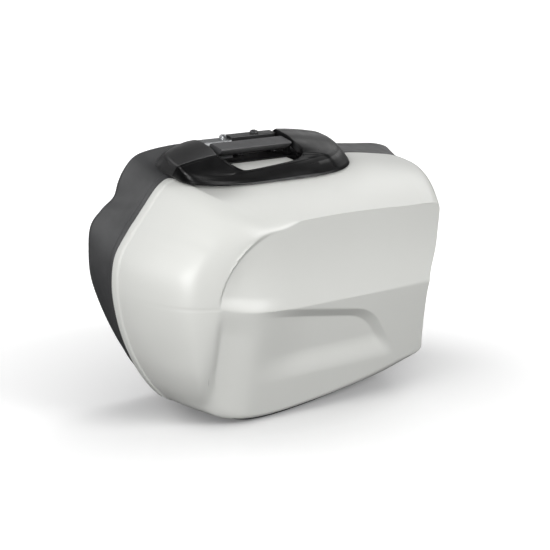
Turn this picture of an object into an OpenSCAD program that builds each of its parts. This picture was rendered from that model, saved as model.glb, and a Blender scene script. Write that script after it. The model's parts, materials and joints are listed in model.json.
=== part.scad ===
// Rigid side case for a touring motorcycle: an inner shell that hangs on the machine,
// a painted outer shell that opens on a bottom hinge, and a grip and latch block on top.
// X runs along the machine (nose of the case at -X), the painted side faces -Y, +Z is up.

/* [Shells] */
// Depth of the inner shell behind the parting plane
inner_d = 88; // [84:1:92]
// Depth of the outer shell at the middle of its face
outer_d = 155; // [150:1:158]
// Wall thickness of both shells
wall = 3.2; // [3:0.1:4]
// Hollow of the long panel on the outer face
panel_hollow = 4; // [2:0.5:9]
// Height of the step under the long panel
scoop_h = 9; // [4:1:12]
// Gap between the two rims
rim_gap = 0.8; // [0.6:0.1:1.2]

/* [Hinge] */
// Radius of the hinge pin
hinge_r = 2.5; // [2:0.1:3]
// Distance of the two hinges from the middle of the pair
hinge_x = 80; // [70:1:90]

/* [Grip and latch] */
// Length of the grip bar
grip_l = 128; // [120:1:132]
// Radius of the grip's pin
grip_pin_r = 3; // [2.5:0.1:3.2]
// Radius of the lever's pin
lever_pin_r = 2; // [1.8:0.1:2.2]
// Radius of the lock cylinder
lock_r = 5.4; // [5:0.1:5.8]

/* [Carrier] */
// Radius of the bore in each carrier socket
socket_r = 8; // [7:0.5:9]
// Depth of the bore in each carrier socket
socket_depth = 20; // [18:1:22]
// Distance between the two carrier sockets
socket_pitch = 220; // [200:5:240]
// Height of the carrier sockets above the floor
socket_z = 110; // [100:1:120]

/* [Hidden] */
$fn = 48;

// From the middle of the case's box to the middle of its outline and its parting plane
seam_x = -10.5;
seam_y = 34;
centre = [0, 190];
// Steps between two stations of the outline, and rings on a shell's side and face
steps = 4;
side_rings = 9;
face_rings = 9;

// Stations round the case, seen from outside, as [x, z] in each column: the parting line,
// the shoulder of the outer face and the edge of the inner shell's back. Then how much of
// the outer side is a quarter ellipse, and the power of the curve that the rest follows.
STATIONS = [
    [[141, 359], [141, 299], [150, 364.5], 0, 2.5],
    [[200, 352.3], [178, 298], [213, 358.5], 0, 2.5],
    [[243, 344.3], [203, 295.5], [266, 353], 0, 2.3],
    [[262, 329], [212, 288], [294, 338.5], 0, 1.6],
    [[267, 296], [211, 262], [300, 300], 0, 1.1],
    [[268, 250], [205, 225], [302, 250], 0, 1.05],
    [[268, 185], [188, 177], [302, 185], 0, 1.05],
    [[266, 125], [190, 122], [298, 125], 0, 1.05],
    [[256, 82], [196, 80], [284, 82], 0, 1.1],
    [[234, 50], [197, 54], [255, 52], 0.1, 1.3],
    [[190, 30], [155, 39.5], [205, 34], 0.5, 1.5],
    [[120, 19], [90, 24], [120, 24], 0.6, 1.5],
    [[20, 17], [10, 10], [20, 19], 0.6, 1.5],
    [[-80, 17], [-75, 1.5], [-75, 18], 0.6, 1.5],
    [[-150, 18], [-131, 4], [-125, 20], 0.7, 1.5],
    [[-195, 24], [-166, 17], [-168, 30], 0.75, 1.5],
    [[-224, 50], [-188, 44], [-204, 54], 0.8, 1.5],
    [[-248, 88], [-200, 85], [-227, 90], 0.9, 1.5],
    [[-264, 125], [-204, 128], [-246, 126], 0.9, 1.5],
    [[-275, 165], [-207, 165], [-263, 166], 0.9, 1.5],
    [[-280, 208], [-207, 200], [-275, 206], 0.9, 1.5],
    [[-274, 250], [-202, 232], [-277, 246], 0.9, 1.5],
    [[-252, 284], [-188, 258], [-272, 282], 0.9, 1.5],
    [[-238, 301], [-178, 269], [-252.5, 304.5], 0.85, 1.6],
    [[-224, 318], [-166, 279], [-232.5, 320.5], 0.8, 1.8],
    [[-207, 338], [-148, 289], [-224, 342], 0.6, 2.2],
    [[-195, 348], [-135, 293], [-213.5, 360], 0.4, 2.3],
    [[-182, 353], [-120, 296], [-196.5, 376.5], 0.2, 2.4],
    [[-166, 351], [-103, 298], [-171, 384], 0.1, 2.5],
    [[-120, 352], [-80, 300], [-120, 388.5], 0, 2.5],
    [[-50, 353], [-40, 302], [-50, 387], 0, 2.5],
    [[30, 353.5], [20, 303], [25, 380.5], 0, 2.5],
    [[98, 357], [80, 302], [92, 370.5], 0, 2.5]
];
n_st = len(STATIONS);
n_col = n_st * steps;

// --- curves and blends -------------------------------------------------------------------

// Point of a closed Catmull-Rom curve through four neighbouring values, t from 0 to 1
function cr(a, b, c, d, t) =
    0.5 * (2 * b + (c - a) * t + (2 * a - 5 * b + 4 * c - d) * t * t
        + (3 * b - a - 3 * c + d) * t * t * t);
// Column k of the station table at step j round the case
function station(k, j) =
    let (i = floor(j / steps), t = j / steps - i)
    cr(STATIONS[(i + n_st - 1) % n_st][k], STATIONS[i % n_st][k],
        STATIONS[(i + 1) % n_st][k], STATIONS[(i + 2) % n_st][k], t);
function mix(a, b, t) = a + (b - a) * t;
function clamp(v) = min(1, max(0, v));
function smooth(v) = let (t = clamp(v)) t * t * (3 - 2 * t);
// Smallest of two distances, rounded over a width of k
function soft_min(a, b, k) = let (h = clamp(0.5 + (b - a) / (2 * k))) mix(b, a, h) - k * h * (1 - h);
// A point moved towards the middle of the case by a distance
function inward(p, by) = p + (centre - p) * by / norm(centre - p);

// --- outer face --------------------------------------------------------------------------

// Upper edge of the long panel, and the lip under it, as heights along X
panel_x = -191;
function ridge_z(x) =
    let (q = clamp((x - panel_x) / 120), rear = max(0, x - 20) / 185)
    303 - 111 * pow(1 - pow(q, 0.6), 1.7) - 7 * rear * rear;
function lip_z(x) = 176.5 + 14.5 * pow(1 - clamp((x - panel_x) / 130), 2.5);
// Depth of the face along its length: it falls away towards the nose and the tail
function face_crown(x) =
    let (nose = max(0, -110 - x) / 95, tail = max(0, x - 60) / 145)
    outer_d - 13 * nose * nose - 5 * tail * tail;
// How far a point lies below and in front of the step under the panel
function scoop_side(x, z) =
    soft_min((156.6 - 0.167 * x - z) / 1.014, (241.4 - 1.33 * x - z) / 1.664, 22);
function scoop(x, z) =
    scoop_h * smooth((x + 150) / 120) * smooth((z - 60) / 45)
        * clamp(scoop_side(x, z) / 13 + 0.5);
// Depth of the outer face at any point inside the shoulder
function face_d(x, z) =
    let (up = ridge_z(x), low = lip_z(x), t = clamp((z - low) / max(1, up - low)),
        in_panel = smooth((x - panel_x) / 40))
    z > up ? face_crown(x) - 3 - 0.0009 * pow(z - up, 2)
    : z > low ? face_crown(x) + 3.5 - 7 * t - in_panel * panel_hollow * sin(180 * t)
    : face_crown(x) + 3.5 - 0.22 * (low - z) - 0.0002 * pow(low - z, 2) - scoop(x, z);

// --- shells ------------------------------------------------------------------------------

// Ring r of the outer shell, at step j, pushed inwards by the distance t
function outer_pt(r, j, t) =
    let (p = inward(station(0, j), t), s = inward(station(1, j), t), w = station(3, j), e = station(4, j))
    r <= side_rings
    ? let (a = r / side_rings, flat = mix(p, s, mix(pow(a, e), 1 - cos(90 * a), w)),
        d = (face_d(s[0], s[1]) - t) * mix(a, sin(90 * a), w))
        [flat[0], -rim_gap / 2 - max(0, d), flat[1]]
    : let (a = (r - side_rings) / face_rings, flat = mix(s, centre, a))
        [flat[0], -rim_gap / 2 - face_d(flat[0], flat[1]) + t, flat[1]];

back_r = 20;
// Ring r of the inner shell, at step j, pushed inwards by the distance t
function inner_pt(r, j, t) =
    let (p = inward(station(0, j), t), b = inward(station(2, j), t), turn = side_rings - 3)
    r <= turn
    ? let (a = r / turn, flat = mix(p, b, a)) [flat[0], rim_gap / 2 + a * (inner_d - back_r), flat[1]]
    : r <= side_rings
    ? let (a = 90 * (r - turn) / 3, flat = inward(b, (back_r - t) * (1 - cos(a))))
        [flat[0], rim_gap / 2 + inner_d - back_r + (back_r - t) * sin(a), flat[1]]
    : let (a = (r - side_rings) / face_rings, flat = mix(inward(b, back_r - t), centre, a))
        [flat[0], rim_gap / 2 + inner_d - t, flat[1]];

// One skin of a shell as rows of points, ring by ring, with the middle point last
function skin_pts(kind, t) =
    let (rings = side_rings + face_rings)
    concat(
        [for (r = [0:rings - 1]) for (j = [0:n_col - 1]) kind == 0 ? outer_pt(r, j, t) : inner_pt(r, j, t)],
        [kind == 0 ? outer_pt(rings, 0, t) : inner_pt(rings, 0, t)]
    );
function quad(a, b, c, d, flip) = flip ? [[a, c, b], [a, d, c]] : [[a, b, c], [a, c, d]];
// Faces of one skin whose points start at index o
function skin_faces(o, flip) =
    let (rings = side_rings + face_rings, last = o + (rings - 1) * n_col)
    concat(
        [for (r = [0:rings - 2]) for (j = [0:n_col - 1])
            let (a = o + r * n_col, k = (j + 1) % n_col)
            each quad(a + j, a + n_col + j, a + n_col + k, a + k, flip)],
        [for (j = [0:n_col - 1])
            let (k = (j + 1) % n_col)
            flip ? [last + j, last + k, last + n_col] : [last + j, last + n_col, last + k]]
    );

// Closed shell of two skins joined along the rim; kind 0 is the outer shell, 1 the inner
module shell(kind) {
    skin = (side_rings + face_rings) * n_col + 1;
    rim = [for (j = [0:n_col - 1])
        let (k = (j + 1) % n_col) each quad(j, k, skin + k, skin + j, kind == 1)];
    polyhedron(
        concat(skin_pts(kind, 0), skin_pts(kind, wall)),
        concat(skin_faces(0, kind == 1), skin_faces(skin, kind == 0), rim),
        convexity = 10
    );
}

// The outline of the parting line pushed inwards by a distance, as a flat shape
module outline(t) {
    polygon([for (j = [0:n_col - 1]) inward(station(0, j), t)]);
}
// A band round the case between two insets, from y0 to y1
module rim_band(t0, t1, y0, y1) {
    translate([0, y1, 0])
        rotate([90, 0, 0])
            linear_extrude(y1 - y0)
                difference() {
                    outline(t0);
                    outline(t1);
                }
}

// --- small shapes ------------------------------------------------------------------------

module at_seam() {
    translate([seam_x, seam_y, 0]) children();
}
// Cylinder along X from x0 to x1
module rod_x(r, x0, x1, y, z) {
    translate([x0, y, z]) rotate([0, 90, 0]) cylinder(r = r, h = x1 - x0);
}
// Cylinder along Y from y0 to y1
module rod_y(r, y0, y1, x, z) {
    translate([x, y0, z]) rotate([-90, 0, 0]) cylinder(r = r, h = y1 - y0);
}
// Block between two corners
module block(a, b) {
    translate(a) cube(b - a);
}
// Pan-head screw pointing along -Z from its head at p
module screw_down(p, r, l) {
    translate(p) {
        cylinder(r = 2 * r, h = 1.8);
        translate([0, 0, -l]) cylinder(r = r, h = l + 0.1);
    }
}

// --- hinge -------------------------------------------------------------------------------

hinge_z = 9;
hinge_mid = -60;
knuckle_r = hinge_r + 3;
HINGES = [hinge_mid - hinge_x, hinge_mid + hinge_x];
hinge_clear = 0.06;
plate_top = 16;

module hinge_brackets() {
    color("#2b2c2e") at_seam() for (x = HINGES) difference() {
        union() {
            for (side = [-1, 1]) {
                rod_x(knuckle_r, x + side * 14 - 5, x + side * 14 + 5, 0, hinge_z);
                block([x + side * 14 - 5, 0, hinge_z], [x + side * 14 + 5, 8, plate_top]);
            }
            block([x - 19, 6.5, 12.5], [x + 19, 30, plate_top]);
        }
        rod_x(hinge_r, x - 25, x + 25, 0, hinge_z);
        for (side = [-1, 1]) translate([x + side * 12, 21, 10]) cylinder(r = 2, h = 10);
    }
}
module hinge_arms() {
    color("#2b2c2e") at_seam() for (x = HINGES) difference() {
        union() {
            rod_x(knuckle_r, x - 8.6, x + 8.6, 0, hinge_z);
            block([x - 8.6, -8, hinge_z], [x + 8.6, 0, 15.6]);
            block([x - 19, -30, 12], [x + 19, -6.5, 15.6]);
        }
        rod_x(hinge_r + hinge_clear, x - 25, x + 25, 0, hinge_z);
    }
}
module hinge_pins() {
    color("silver") at_seam() for (x = HINGES) rod_x(hinge_r, x - 20, x + 20, 0, hinge_z);
}
module hinge_screws() {
    color("dimgray") at_seam() for (x = HINGES) for (side = [-1, 1])
        translate([x + side * 12, 21, 0]) {
            translate([0, 0, 10.7]) cylinder(r = 3.6, h = 1.8);
            translate([0, 0, 12]) cylinder(r = 1.9, h = 10);
        }
}

// --- shells and their rims -----------------------------------------------------------------

boss_y = 20;
BOSSES = [-123, -40, 20];
SOCKETS = [-socket_pitch / 2, socket_pitch / 2];
socket_body_r = 16;
hook_w = 28;
hook_z = [288, 336];

module inner_shell() {
    color("#3a3b3d") at_seam() difference() {
        shell(1);
        for (x = BOSSES) translate([x, boss_y, 340]) cylinder(r = 2, h = 30);
        for (x = SOCKETS) rod_y(socket_body_r + 0.3, 70, 100, x, socket_z);
        block([-hook_w - 0.4, 50, hook_z[0] - 0.4], [hook_w + 0.4, 100, hook_z[1] + 0.4]);
        for (x = HINGES) for (side = [-1, 1]) translate([x + side * 12, 21, 8]) cylinder(r = 2, h = 20);
    }
}
module outer_shell() {
    color("#d9dad5") at_seam() shell(0);
}
module rim_seal() {
    color("#1b1b1c") at_seam() {
        rim_band(wall + 0.3, wall + 3.3, 0.6, 7);
        rim_band(wall + 1.7, wall + 3.2, -2.6, 0.6);
    }
}
frame_y = [-19, -3];
module lid_frame() {
    color("#232425") at_seam() {
        rim_band(wall + 9.5, wall + 12.5, frame_y[0], frame_y[1]);
        for (p = FRAME_LUGS) translate([p[0], frame_y[0], p[1]]) rotate([-90, 0, 0])
            difference() {
                cylinder(r = 5, h = 4);
                translate([0, 0, -1]) cylinder(r = 1.7, h = 6);
            }
    }
}
FRAME_LUGS = [for (j = [7:10:n_col - 1]) inward(station(0, j), wall + 15)];
module frame_screws() {
    color("dimgray") at_seam() for (p = FRAME_LUGS) translate([p[0], frame_y[0] + 5.8, p[1]])
        rotate([90, 0, 0]) {
            translate([0, 0, -0.2]) cylinder(r = 3, h = 1.8);
            cylinder(r = 1.6, h = 9);
        }
}

// --- feet --------------------------------------------------------------------------------

foot_r = 11;
INNER_FEET = [[-112, 50, 17.7], [128, 50, 22], [150, 12, 21.2]];
OUTER_FEET = [[-100, -64, 11.5], [-10, -78, 11.9]];
module foot(p) {
    translate([p[0], p[1], 0]) {
        cylinder(r1 = foot_r - 2, r2 = foot_r, h = 2);
        translate([0, 0, 2]) cylinder(r = foot_r, h = p[2] - 2);
    }
}
module inner_feet() {
    color("#141414") at_seam() for (p = INNER_FEET) foot(p);
}
module outer_foot() {
    color("#141414") at_seam() for (p = OUTER_FEET) foot(p);
}

// --- carrier side --------------------------------------------------------------------------

back_y = inner_d + rim_gap / 2;
module carrier_sockets() {
    color("#1d1d1f") at_seam() for (x = SOCKETS) difference() {
        union() {
            rod_y(socket_body_r, back_y - socket_depth - 4, back_y, x, socket_z);
            rod_y(socket_body_r + 6, back_y - wall - 3.5, back_y - wall - 0.4, x, socket_z);
        }
        rod_y(socket_r, back_y - socket_depth, back_y + 1, x, socket_z);
        for (a = [45:90:359])
            rod_y(1.7, back_y - wall - 5, back_y, x + 19 * cos(a), socket_z + 19 * sin(a));
    }
}
module socket_screws() {
    color("dimgray") at_seam() for (x = SOCKETS) for (a = [45:90:359])
        translate([x + 19 * cos(a), back_y - wall - 3.6, socket_z + 19 * sin(a)])
            rotate([-90, 0, 0]) {
                translate([0, 0, -1.8]) cylinder(r = 2.8, h = 1.8);
                cylinder(r = 1.6, h = 3.4);
            }
}
hook_pin_y = 76;
hook_pin_z = 326;
hook_pin_r = 2.5;
module hook_block() {
    color("#1d1d1f") at_seam() difference() {
        block([-hook_w, 56, hook_z[0]], [hook_w, back_y, hook_z[1]]);
        block([-hook_w + 8, 60, hook_z[0] + 4], [hook_w - 8, back_y + 1, hook_z[1] - 3]);
        rod_x(hook_pin_r, -hook_w - 1, hook_w + 1, hook_pin_y, hook_pin_z);
    }
}
module hook_pin() {
    color("silver") at_seam() rod_x(hook_pin_r, -hook_w, hook_w, hook_pin_y, hook_pin_z);
}
module carrier_hook() {
    color("#7d8083") at_seam() difference() {
        union() {
            rod_x(6, -14, 14, hook_pin_y, hook_pin_z);
            block([-14, hook_pin_y - 5, 300], [14, hook_pin_y + 1, hook_pin_z]);
            block([-14, hook_pin_y - 5, 296], [14, hook_pin_y + 9, 301]);
            block([-14, hook_pin_y + 5, 300], [14, hook_pin_y + 9, 305]);
        }
        rod_x(hook_pin_r + hinge_clear, -20, 20, hook_pin_y, hook_pin_z);
    }
}

// --- grip and latch ------------------------------------------------------------------------

// Stations round the housing over the latch: the rim of its mouth, the shoulder of its
// roof and its lower edge, which follows the two shells just clear of them.
HOUSING = [
    [[-97, -58, 367], [-130, -63, 359], [-135, -71, 347.5]],
    [[-84, -59.5, 364.5], [-86, -65, 360], [-88, -78, 346]],
    [[-40, -59.5, 367], [-40, -65, 363], [-40, -80, 346]],
    [[-3, -58.5, 370], [0, -65, 366], [5, -81, 346]],
    [[10, -56, 372.5], [34, -62, 368], [40, -81, 346.5]],
    [[20, -51, 377], [66, -57, 371], [76, -77, 349.5]],
    [[21, -44, 384.5], [88, -46, 376], [101, -64, 353.6]],
    [[15, -34, 393], [98, -32, 382], [114, -47, 357.2]],
    [[15, -20, 399], [101, -16, 387.2], [120, -28, 361]],
    [[16, 0, 403.5], [101, 0, 391.5], [130, -8, 363]],
    [[18, 14, 405.5], [94, 14, 396], [130, 12, 364.7]],
    [[26, 26, 404], [80, 28, 396], [118, 36, 367.2]],
    [[28, 36, 400], [62, 41, 391], [96, 54, 371.7]],
    [[24, 38, 397], [38, 44, 390], [45, 57, 376.7]],
    [[-20, 38, 390], [-20, 44, 387], [-20, 57, 383.6]],
    [[-72, 38, 390], [-72, 44, 388], [-72, 57, 386]],
    [[-116, 38, 396], [-117, 44, 392], [-116, 57, 387.2]],
    [[-122, 32, 399], [-146, 40, 391.5], [-152, 56, 383.7]],
    [[-124, 14, 402], [-172, 20, 389], [-186, 32, 370.2]],
    [[-126, -8, 400], [-184, 0, 386], [-187, 17, 363.1]],
    [[-126, -26, 395.5], [-190, -22, 381], [-185, 3, 358.5]],
    [[-125, -39, 388], [-191, -38, 378], [-185, -10, 356.5]],
    [[-120, -43, 384.5], [-189, -43, 374], [-187, -28, 354.5]],
    [[-115, -48, 379], [-184, -49, 369], [-185, -46, 353]],
    [[-107, -54, 373], [-168, -56, 363], [-171, -60, 350.5]]
];
n_house = len(HOUSING);
house_wall = 3;
// Depth of the lip inside the mouth, and how much deeper it is at the mouth's right end
mouth_drop = 6;
end_drop = 6.5;
// Where the cover on the left meets the bezel, counted in stations
cover_from = 16.1;
cover_to = 21;

// Point k of the housing's section, at place u round it
function house(k, u) =
    let (i = floor(u), t = u - i, n = n_house)
    cr(HOUSING[(i + n - 1) % n][k], HOUSING[i % n][k], HOUSING[(i + 1) % n][k], HOUSING[(i + 2) % n][k], t);
function unit(v) = v / max(0.001, norm(v));
// Level direction from point p towards the nearest point of a block over x0..x1, y0..y1
function towards(p, x0, x1, y0, y1) =
    unit([min(x1, max(x0, p[0])) - p[0], min(y1, max(y0, p[1])) - p[1], 0]);
// Outer or inner skin of the section at place u, from the lower edge to the mouth's lip
function house_section(u, inner) =
    let (
        m = house(0, u), s = house(1, u), b = house(2, u),
        out = -towards(m, -100, 0, -30, 20),
        core = towards(b, -120, 60, -5, 5),
        core_s = towards(s, -120, 60, -5, 5),
        at = u % n_house, drop = mouth_drop + end_drop * smooth(at - 5.5) * (1 - smooth(at - 10.5)),
        low = s + (b - s) * 0.14, high = s + (m - s) * 0.1, down = [0, 0, 1],
        w = house_wall
    )
    inner
    ? [b + core * w, low + core_s * w - down * 1.5, s + core_s * w * 0.7 - down * w * 0.9, high - down * w,
        m + out * w - down * w, m + out * w - down * drop]
    : [b, low, s + core_s * 0.7 - down * 0.5, high, m, m - down * drop];

// Closed solid between two skins given as rows of points; wraps round when closed is true
module slab(outer, inner, closed) {
    rows = len(outer);
    cols = len(outer[0]);
    last = closed ? rows - 1 : rows - 2;
    total = rows * cols;
    function at(side, r, c) = side * total + (r % rows) * cols + c;
    faces = concat(
        [for (side = [0, 1]) for (r = [0:last]) for (c = [0:cols - 2])
            each quad(
                at(side, r, c), at(side, r + 1, c), at(side, r + 1, c + 1), at(side, r, c + 1), side == 1
            )],
        [for (c = [0, cols - 1]) for (r = [0:last])
            each quad(at(0, r, c), at(0, r + 1, c), at(1, r + 1, c), at(1, r, c), c == 0)],
        closed ? [] : [for (r = [0, rows - 1]) for (c = [0:cols - 2])
            each quad(at(0, r, c), at(0, r, c + 1), at(1, r, c + 1), at(1, r, c), r != 0)]
    );
    polyhedron([each each outer, each each inner], faces, convexity = 10);
}
house_steps = 4;
module housing_part(u0, u1) {
    n = ceil((u1 - u0) * house_steps);
    places = [for (i = [0:n]) u0 + (u1 - u0) * i / n];
    slab([for (u = places) house_section(u, false)], [for (u = places) house_section(u, true)], false);
}
module grip_bezel() {
    color("#2a2b2d") at_seam() housing_part(cover_to + 0.02, n_house + cover_from - 0.02);
}
module left_cover() {
    color("#2f3032") at_seam() housing_part(cover_from, cover_to);
}

grip_x = [-116, -116 + grip_l];
chassis_z = [368, 371];
chassis_y = [-28, 28.5];
// Lower ends of the chassis legs, just above the inner shell
LEGS_Z = [365.5, 365.5, 364];
// Painted floor behind the lip of the slot, as a strip between the bezel and the chassis
slot_floor = [[-56, 361.5], [-56, 364], [-40, 367.5], [-28, 368.8], [-28, 366.3], [-40, 365]];
slot_x = [-106, 8];
grip_pin_y = -8;
grip_pin_z = 384;
lever_pin_y = 24;
lever_pin_z = 385;
lever_x = [-66, 15];
// The lever's three knuckles, and the chassis lugs outside the first and the last
knuckle_l = 8;
KNUCKLES = [-47.7, -21, 1];
LEVER_LUGS = [-52, 9.3];
lug_l = 4;
// Front and back edge of the lever's top, as [y, z]
LEVER_TOP = [[12, 401.2], [26, 403.2]];
module lug_x(x0, x1, y, z, r, bore) {
    difference() {
        union() {
            rod_x(r, x0, x1, y, z);
            block([x0, y - r, chassis_z[0]], [x1, y + r, z]);
        }
        rod_x(bore, x0 - 1, x1 + 1, y, z);
    }
}
module latch_chassis() {
    color("#1a1b1c") at_seam() {
        difference() {
            union() {
                block([-130, chassis_y[0], chassis_z[0]], [28, chassis_y[1], chassis_z[1]]);
                for (i = [0:2]) translate([BOSSES[i], boss_y, LEGS_Z[i]])
                    cylinder(r = 5, h = chassis_z[0] - LEGS_Z[i] + 1);
            }
            for (x = BOSSES) translate([x, boss_y, 360]) cylinder(r = 1.7, h = 20);
        }
        lug_x(-130, -125, grip_pin_y, grip_pin_z, 6, grip_pin_r);
        lug_x(20, 25, grip_pin_y, grip_pin_z, 6, grip_pin_r);
        for (x = LEVER_LUGS) lug_x(x, x + lug_l, lever_pin_y, lever_pin_z, 4.5, lever_pin_r);
    }
}
module slot_panel() {
    color("#d9dad5") at_seam() translate([slot_x[0], 0, 0]) rotate([90, 0, 90])
        linear_extrude(slot_x[1] - slot_x[0]) polygon(slot_floor);
}
module chassis_screws() {
    color("dimgray") at_seam() for (x = BOSSES) screw_down([x, boss_y, chassis_z[1]], 1.6, 14);
}
module grip_pin() {
    color("silver") at_seam() rod_x(grip_pin_r, -131, 26, grip_pin_y, grip_pin_z);
}
// Grip bar with the section of a rounded wedge, on three knuckles round its pin
module carry_handle() {
    bar = [[-36, 390.2], [-36.5, 391.7], [-35.5, 393.2], [-33, 394], [-10, 398.7], [-6.5, 397.7], [-5, 394],
        [-5, 384], [-9, 380], [-20, 381], [-30, 385.5]];
    color("#3c3d3f") at_seam() difference() {
        union() {
            translate([grip_x[0] + 1, 0, 0])
                rotate([90, 0, 90])
                    linear_extrude(grip_l - 2) polygon(bar);
            rod_x(5.6, grip_x[0] + 1, grip_x[1] - 1, grip_pin_y, grip_pin_z);
        }
        rod_x(grip_pin_r + hinge_clear, grip_x[0] - 5, grip_x[1] + 5, grip_pin_y, grip_pin_z);
    }
}
module lever_pin() {
    color("silver") at_seam()
        rod_x(lever_pin_r, LEVER_LUGS[0] - 1, LEVER_LUGS[1] + lug_l + 1, lever_pin_y, lever_pin_z);
}
module open_lever() {
    paddle = [[11, 394], [11, 400], LEVER_TOP[0], LEVER_TOP[1], [28, 401.5], [28, 391], [20, 391]];
    color("#1c1d1e") at_seam() difference() {
        union() {
            translate([lever_x[0], 0, 0]) rotate([90, 0, 90]) linear_extrude(lever_x[1] - lever_x[0])
                polygon(paddle);
            for (x = KNUCKLES) {
                rod_x(4.2, x, x + knuckle_l, lever_pin_y, lever_pin_z);
                block([x, lever_pin_y - 4, lever_pin_z], [x + knuckle_l, lever_pin_y + 4, 393]);
            }
        }
        rod_x(lever_pin_r + hinge_clear, lever_x[0], lever_x[1], lever_pin_y, lever_pin_z);
    }
}
module lever_knob() {
    top = (LEVER_TOP[0] + LEVER_TOP[1]) / 2;
    rise = LEVER_TOP[1] - LEVER_TOP[0];
    color("#242526") at_seam() translate([-19, top[0], top[1] + 0.05])
        rotate([atan2(rise[1], rise[0]), 0, 0])
        rotate_extrude() polygon([[0, 0], [6.2, 0], [6.5, 1.8], [5.2, 3.7], [2.8, 4.6], [0, 4.8]]);
}
// Torsion spring on the lever's pin, between two of its knuckles
module lever_spring() {
    color("silver") at_seam() for (i = [0:6])
        translate([-12 + i * 1.9, lever_pin_y, lever_pin_z])
            rotate([0, 90, 0]) rotate_extrude() translate([3.1, 0]) circle(r = 0.8, $fn = 20);
}
LOCK = [-74.5, 20];
module lock_housing() {
    color("#b4b6b8") at_seam() difference() {
        union() {
            translate([-115, 6, chassis_z[1]]) rotate([90, 0, 90]) linear_extrude(48.4)
                polygon([[0, 0], [24, 0], [24, 25], [21, 28], [3, 26], [0, 22]]);
        }
        translate([LOCK[0], LOCK[1], 373.5]) cylinder(r = lock_r + hinge_clear, h = 40);
    }
}
module lock_cylinder() {
    color("#c9cacb") at_seam() translate([LOCK[0], LOCK[1], 374]) difference() {
        union() {
            cylinder(r = lock_r, h = 28.5);
            translate([0, 0, 28.4]) cylinder(r1 = lock_r, r2 = lock_r - 1.5, h = 2);
        }
        translate([-3.4, -0.9, 22]) cube([6.8, 1.8, 12]);
    }
}

// --- lid catch -----------------------------------------------------------------------------

catch_pin = [14, 324];
catch_x = [-34, -6];
catch_pin_r = 2;
module catch_bracket() {
    color("#1a1b1c") at_seam() for (x = [catch_x[0] - 4.3, catch_x[1] + 0.3]) difference() {
        union() {
            rod_x(5, x, x + 4, catch_pin[0], catch_pin[1]);
            block([x, catch_pin[0] - 5, catch_pin[1]], [x + 4, catch_pin[0] + 5, 353.4]);
        }
        rod_x(catch_pin_r, x - 1, x + 5, catch_pin[0], catch_pin[1]);
    }
}
module catch_rod() {
    color("silver") at_seam()
        rod_x(catch_pin_r, catch_x[0] - 5, catch_x[1] + 5, catch_pin[0], catch_pin[1]);
}
// Hook that reaches through the parting plane and hangs over the keeper's ledge
module lid_catch() {
    color("#7d8083") at_seam() difference() {
        union() {
            rod_x(5, catch_x[0], catch_x[1], catch_pin[0], catch_pin[1]);
            block([catch_x[0], -26, 321], [catch_x[1], catch_pin[0], 325]);
            block([catch_x[0], -26, 317.5], [catch_x[1], -22, 325]);
        }
        rod_x(catch_pin_r + hinge_clear, catch_x[0] - 1, catch_x[1] + 1, catch_pin[0], catch_pin[1]);
    }
}
// Keeper on the lid's frame: two posts and a ledge that the catch pulls on
module lid_keeper() {
    color("#8a8c8e") at_seam() {
        block([catch_x[0] - 6, -26, 309], [catch_x[1] + 6, -13, 316.8]);
        for (x = [catch_x[0] - 6, catch_x[1] + 2]) block([x, -26, 316.8], [x + 4, -13, 338.5]);
    }
}

// --- webbing -------------------------------------------------------------------------------

strap_w = 25;
strap_z = 190;
strap_y = inner_d - wall - 3.6;
module strap_anchors() {
    color("#1a1b1c") at_seam() for (x = [-170, 190]) difference() {
        block([x - 8, strap_y - 3, strap_z - 20], [x + 8, strap_y + 3, strap_z + 20]);
        block(
            [x - 2.5, strap_y - 1, strap_z - strap_w / 2 - 1],
            [x + 2.5, strap_y + 4, strap_z + strap_w / 2 + 1]
        );
    }
}
module cargo_straps() {
    color("#202122") at_seam() {
        block([-161.5, strap_y - 0.8, strap_z - strap_w / 2], [-31, strap_y + 0.8, strap_z + strap_w / 2]);
        block([31, strap_y - 0.8, strap_z - strap_w / 2], [181.5, strap_y + 0.8, strap_z + strap_w / 2]);
    }
}
module strap_buckle() {
    color("#161617") at_seam() block([-30.5, strap_y - 5, strap_z - 18], [30.5, strap_y + 3, strap_z + 18]);
}
// Lid stays: a band that hangs in a loop between the two halves at each end of the case
stay_top = 228;
stay_r = 17;
stay_drop = 110;
STAYS = [-215, 232];
module check_straps() {
    color("#202122") at_seam() for (x = STAYS) translate([x - 9, -4, 0]) rotate([90, 0, 90])
        linear_extrude(18) {
            for (side = [-1, 1])
                translate([side * stay_r - 0.8, stay_top - stay_drop]) square([1.6, stay_drop]);
            translate([0, stay_top - stay_drop]) difference() {
                circle(r = stay_r + 0.8);
                circle(r = stay_r - 0.8);
                translate([-30, 0]) square([60, 30]);
            }
        }
}

inner_shell();
rim_seal();
hinge_brackets();
hinge_pins();
hinge_screws();
carrier_sockets();
socket_screws();
inner_feet();
latch_chassis();
chassis_screws();
grip_bezel();
left_cover();
slot_panel();
lock_housing();
grip_pin();
lever_pin();
lever_spring();
hook_block();
hook_pin();
catch_bracket();
catch_rod();
strap_anchors();
cargo_straps();
strap_buckle();
outer_shell();
lid_frame();
hinge_arms();
lid_keeper();
outer_foot();
frame_screws();
carry_handle();
open_lever();
lever_knob();
lid_catch();
carrier_hook();
lock_cylinder();
check_straps();
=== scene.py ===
"""Looks of a rigid motorcycle side case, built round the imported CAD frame."""
import json
import math

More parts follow.
